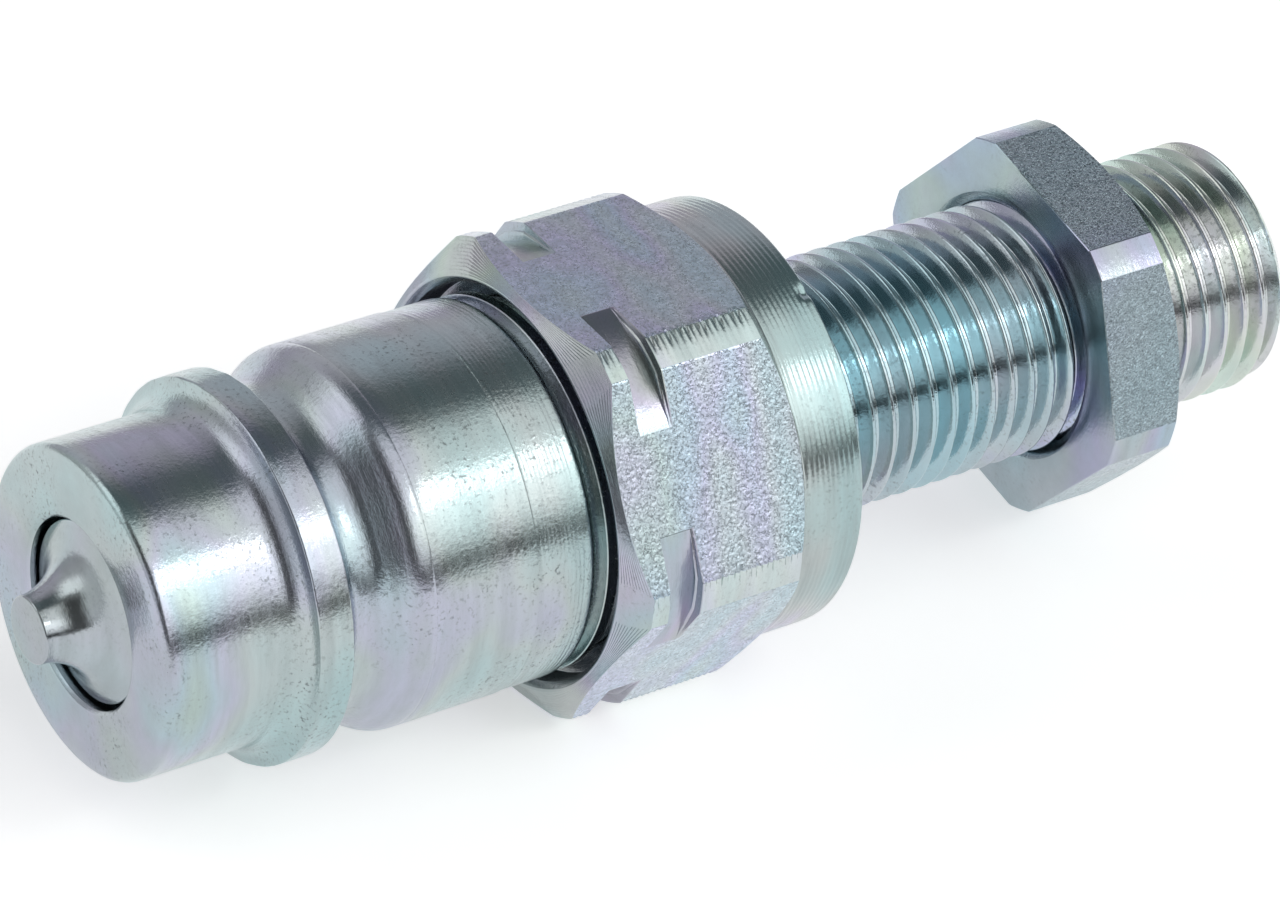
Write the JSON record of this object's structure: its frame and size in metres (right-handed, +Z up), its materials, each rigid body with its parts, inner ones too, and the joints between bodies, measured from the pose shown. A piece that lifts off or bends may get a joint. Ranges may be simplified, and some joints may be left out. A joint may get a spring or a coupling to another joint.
{
  "type": "quick coupling",
  "caption": "Hydraulic quick coupling, poppet male half with flange and locking groove, large hexagon, bulkhead thread with lock nut and tube cone at the rear.",
  "frame": {"origin": "on the axis at the rim circle where the nose's sealing cylinder starts", "axes": "+X along the axis from the nose towards the bulkhead thread, +Z up, a flat of the large hexagon faces down"},
  "size_m": [0.0863, 0.03, 0.027],
  "materials": {
    "zinc_turned": "turned, bright zinc plated with clear blue passivation",
    "poppet_steel": "polished, zinc plated",
    "seal_rubber": "moulded nitrile rubber",
    "spring_steel": "drawn spring steel",
    "guide_steel": "plain machined steel",
    "backup_plastic": "white plastic",
    "zinc_hex": "bright zinc plated, rolled flats and turned collar",
    "zinc_nut": "bright zinc plated with grained flats"
  },
  "bodies": {
    "body": {"nose_body": "zinc_turned", "hex_adapter": "zinc_hex", "valve_guide": "guide_steel", "guide_clip": "spring_steel", "body_oring": "seal_rubber", "backup_ring": "backup_plastic"},
    "valve": {"poppet_head": "poppet_steel", "poppet_seal": "seal_rubber", "valve_stem": "poppet_steel", "valve_spring": "spring_steel"},
    "nut": {"lock_nut": "zinc_nut"}
  },
  "joints": [
    {"name": "valve_slide", "type": "slide", "parent": "body", "child": "valve", "axis": [1, 0, 0], "range_m": [0, 0.0055], "stiffness_N_per_m": 1500, "springref_m": -0.006, "deforming": ["valve_spring"]},
    {"name": "nut_turn", "type": "hinge", "parent": "body", "child": "nut", "pos_m": [0.0689, 0, 0], "axis": [1, 0, 0], "continuous": true}
  ]
}
